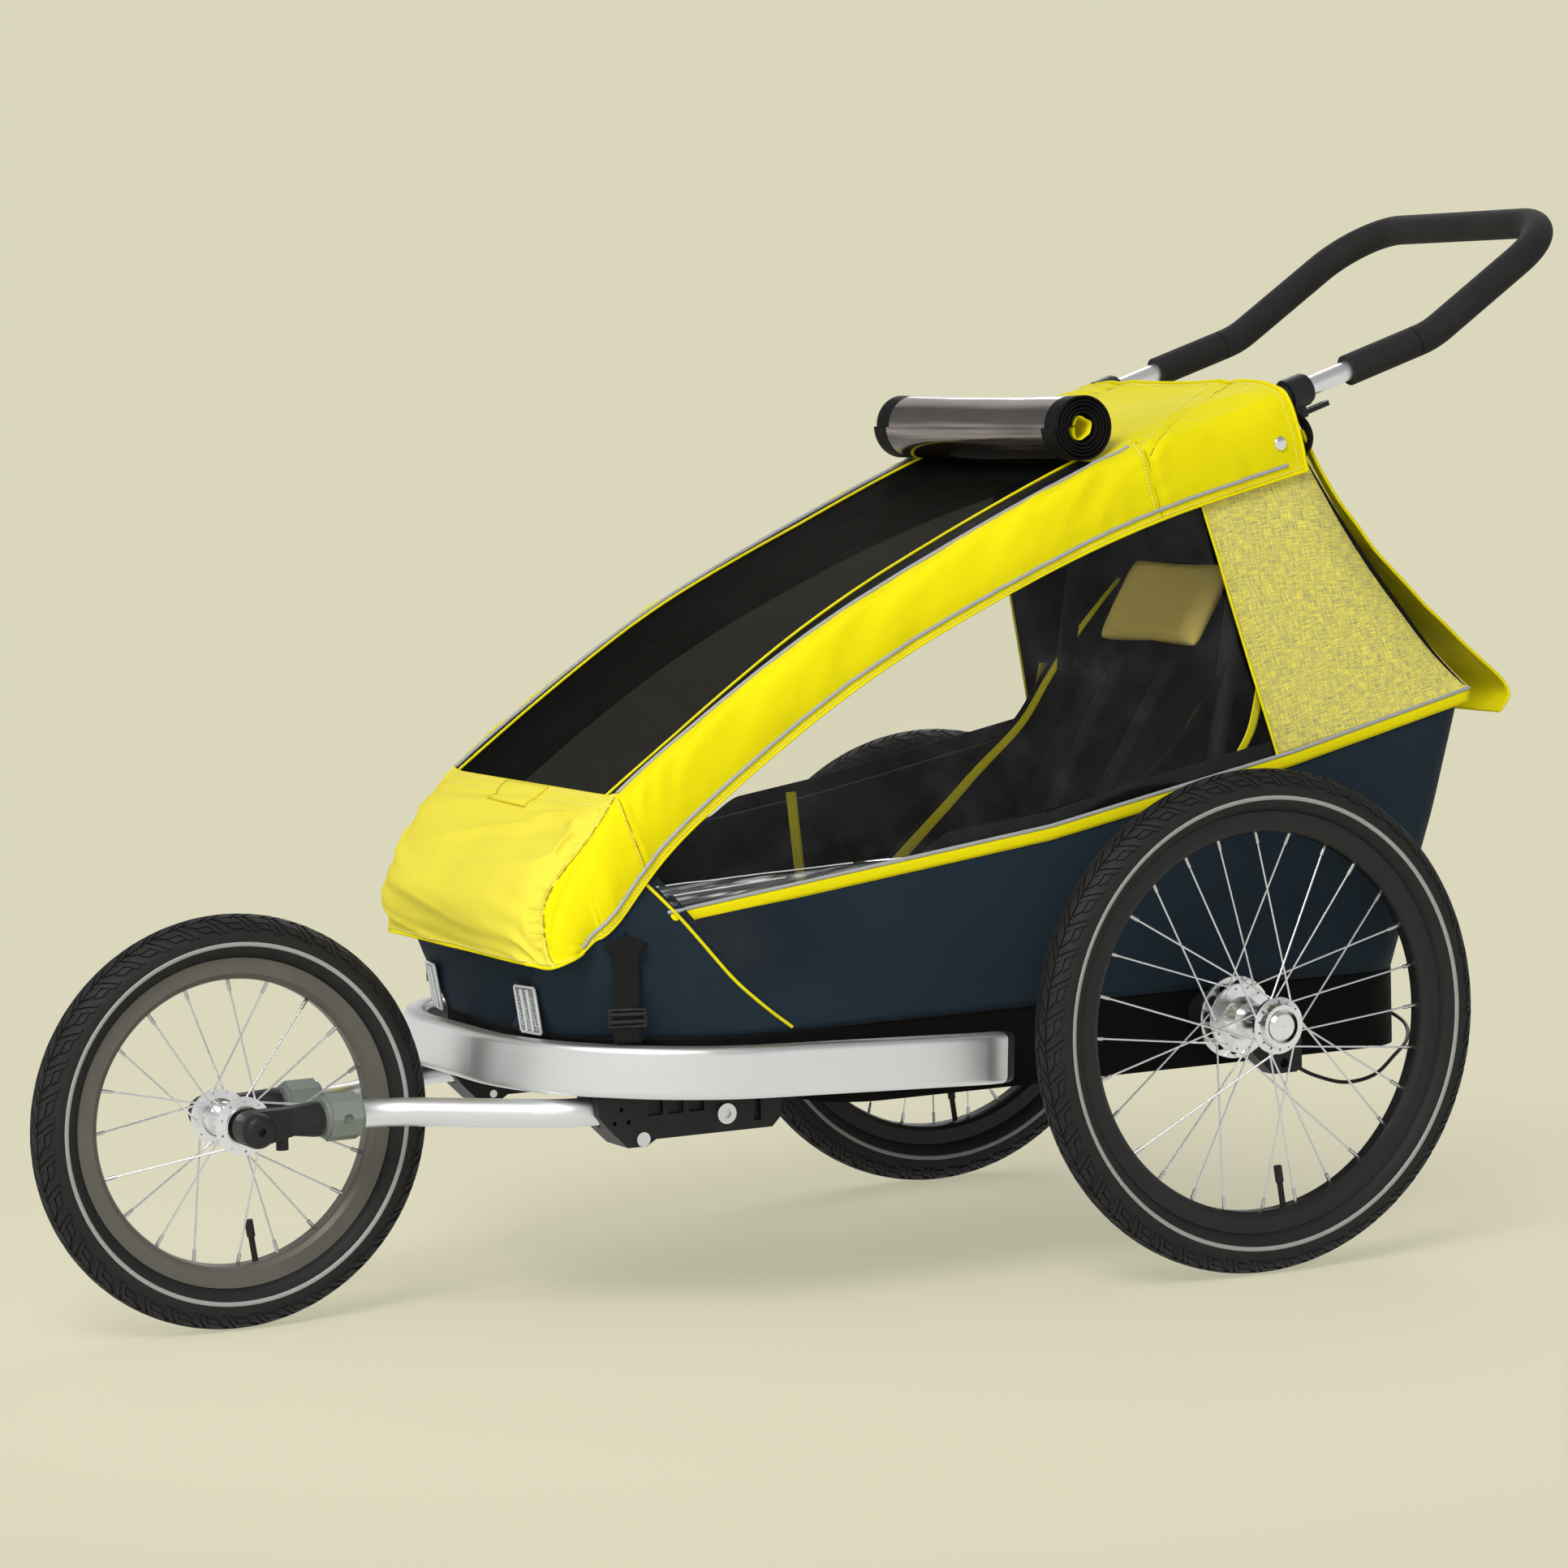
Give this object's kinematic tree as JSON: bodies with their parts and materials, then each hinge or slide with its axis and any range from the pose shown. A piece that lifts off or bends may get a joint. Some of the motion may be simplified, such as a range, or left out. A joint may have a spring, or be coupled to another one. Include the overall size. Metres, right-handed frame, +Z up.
{
  "type": "child bicycle trailer",
  "caption": "Covered child trailer with a push bar, two spoked rear wheels, a front jogger wheel on arms, a mesh front and a folding roof frame",
  "frame": {"origin": "bottom centre of the bounding box, wheels standing on z = 0", "axes": "+X forward in the direction of travel, +Y left, +Z up"},
  "size_m": [1.6575, 0.757, 1.0483],
  "materials": {
    "silver_tube": "satin anodised",
    "dark_tube": "satin powder coat",
    "steel": "bright",
    "polished_hub": "polished",
    "black_rim": "satin black anodised",
    "dark_rim": "dark grey anodised",
    "tyre_rubber": "matt rubber",
    "black_plastic": "fine grain",
    "grey_plastic": "fine grain",
    "red_plastic": "moulded",
    "clear_lens": "prism lens",
    "red_lens": "prism lens",
    "yellow_fabric": "coated woven",
    "navy_fabric": "coated woven",
    "black_fabric": "coated woven",
    "melange_fabric": "flecked woven",
    "mesh_fabric": "open mesh",
    "clear_film": "clear film",
    "tinted_film": "tinted film",
    "black_foam": "closed-cell foam",
    "seat_fabric": "padded woven",
    "tan_fabric": "padded woven",
    "webbing": "woven webbing",
    "cable_sleeve": "smooth"
  },
  "bodies": {
    "chassis": {"base_frame": "dark_tube", "floor_tray": "black_fabric", "bumper_bar": "silver_tube", "bumper_end_caps": "black_plastic", "tub_fabric": "navy_fabric", "front_reflectors": "clear_lens", "rear_reflectors": "red_lens", "side_straps": "webbing", "arm_receivers": "black_plastic", "receiver_bolts": "steel", "axle_housings": "black_plastic", "rear_axles": "steel", "brake_housings": "black_plastic", "brake_cables": "cable_sleeve", "jogger_arms": "silver_tube", "arm_collars": "grey_plastic", "arm_dropouts": "black_plastic", "front_axle": "steel", "axle_knobs": "black_plastic", "roof_pivot_pins": "steel", "seat_pad": "seat_fabric", "backrest_pad": "seat_fabric", "headrest_pad": "tan_fabric", "harness": "webbing", "side_windows": "clear_film", "side_panels": "melange_fabric", "rear_flap": "yellow_fabric"},
    "left_wheel": {"left_tyre": "tyre_rubber", "left_rim": "black_rim", "left_hub": "polished_hub", "left_spokes": "steel", "left_bearings": "steel"},
    "right_wheel": {"right_tyre": "tyre_rubber", "right_rim": "black_rim", "right_hub": "polished_hub", "right_spokes": "steel", "right_bearings": "steel"},
    "front_wheel": {"front_tyre": "tyre_rubber", "front_rim": "dark_rim", "front_hub": "polished_hub", "front_spokes_set": "steel", "front_bearings": "steel"},
    "roof": {"roof_hoop": "dark_tube", "handle_clamps": "black_plastic", "canopy_cover": "yellow_fabric", "mesh_screen": "mesh_fabric", "rain_cover_roll": "tinted_film"},
    "uprights": {"rear_uprights": "dark_tube"},
    "handle": {"push_bar": "silver_tube", "foam_grip": "black_foam"},
    "pedal": {"brake_pedal": "red_plastic"},
    "left_axle_release": {"left_axle_button": "grey_plastic"},
    "left_fold_release": {"left_fold_button": "black_plastic"},
    "left_lever": {"left_clamp_lever": "black_plastic"},
    "left_pin": {"left_brake_pin": "steel"},
    "right_axle_release": {"right_axle_button": "grey_plastic"},
    "right_fold_release": {"right_fold_button": "black_plastic"},
    "right_lever": {"right_clamp_lever": "black_plastic"},
    "right_pin": {"right_brake_pin": "steel"}
  },
  "joints": [
    {"name": "left_wheel_spin", "type": "hinge", "parent": "chassis", "child": "left_wheel", "pos_m": [-0.32321, 0.33, 0.25], "axis": [0, 1, 0], "continuous": true},
    {"name": "right_wheel_spin", "type": "hinge", "parent": "chassis", "child": "right_wheel", "pos_m": [-0.32321, -0.33, 0.25], "axis": [0, 1, 0], "continuous": true},
    {"name": "front_wheel_spin", "type": "hinge", "parent": "chassis", "child": "front_wheel", "pos_m": [0.62879, 0, 0.2], "axis": [0, 1, 0], "continuous": true},
    {"name": "roof_fold", "type": "hinge", "parent": "chassis", "child": "roof", "pos_m": [0.2811, 0, 0.275], "axis": [0, -1, 0], "range_deg": [0, 32], "deforming": ["tub_fabric", "side_windows", "side_panels", "rear_flap", "seat_pad", "backrest_pad", "headrest_pad", "harness", "side_straps"]},
    {"name": "upright_fold", "type": "hinge", "parent": "roof", "child": "uprights", "pos_m": [-0.44121, 0, 0.812], "axis": [0, -1, 0], "range_deg": [0, 49]},
    {"name": "handle_slide", "type": "slide", "parent": "roof", "child": "handle", "axis": [-0.9511, 0, 0.309], "range_m": [-0.04, 0.06]},
    {"name": "left_lever_swing", "type": "hinge", "parent": "roof", "child": "left_lever", "pos_m": [-0.47879, 0.184, 0.84351], "axis": [0, 1, 0], "range_deg": [-80, 0]},
    {"name": "left_fold_press", "type": "slide", "parent": "roof", "child": "left_fold_release", "axis": [1, 0, 0], "range_m": [0, 0.005], "stiffness_N_per_m": 800},
    {"name": "left_axle_press", "type": "slide", "parent": "chassis", "child": "left_axle_release", "axis": [0, -1, 0], "range_m": [0, 0.0025], "stiffness_N_per_m": 900},
    {"name": "right_lever_swing", "type": "hinge", "parent": "roof", "child": "right_lever", "pos_m": [-0.47879, -0.184, 0.84351], "axis": [0, 1, 0], "range_deg": [-80, 0]},
    {"name": "right_fold_press", "type": "slide", "parent": "roof", "child": "right_fold_release", "axis": [1, 0, 0], "range_m": [0, 0.005], "stiffness_N_per_m": 800},
    {"name": "right_axle_press", "type": "slide", "parent": "chassis", "child": "right_axle_release", "axis": [0, 1, 0], "range_m": [0, 0.0025], "stiffness_N_per_m": 900},
    {"name": "brake_pedal_press", "type": "hinge", "parent": "chassis", "child": "pedal", "pos_m": [-0.58521, 0, 0.24], "axis": [0, -1, 0], "range_deg": [0, 20]},
    {"name": "left_brake_pin_slide", "type": "slide", "parent": "chassis", "child": "left_pin", "axis": [0, 1, 0], "range_m": [0, 0.008]},
    {"name": "right_brake_pin_slide", "type": "slide", "parent": "chassis", "child": "right_pin", "axis": [0, -1, 0], "range_m": [0, 0.008]}
  ],
  "couplings": [
    {"joint": "upright_fold", "follows": "roof_fold", "ratio": 1.523},
    {"joint": "left_brake_pin_slide", "follows": "brake_pedal_press", "m_per_rad": 0.022918},
    {"joint": "right_brake_pin_slide", "follows": "brake_pedal_press", "m_per_rad": 0.022918}
  ]
}
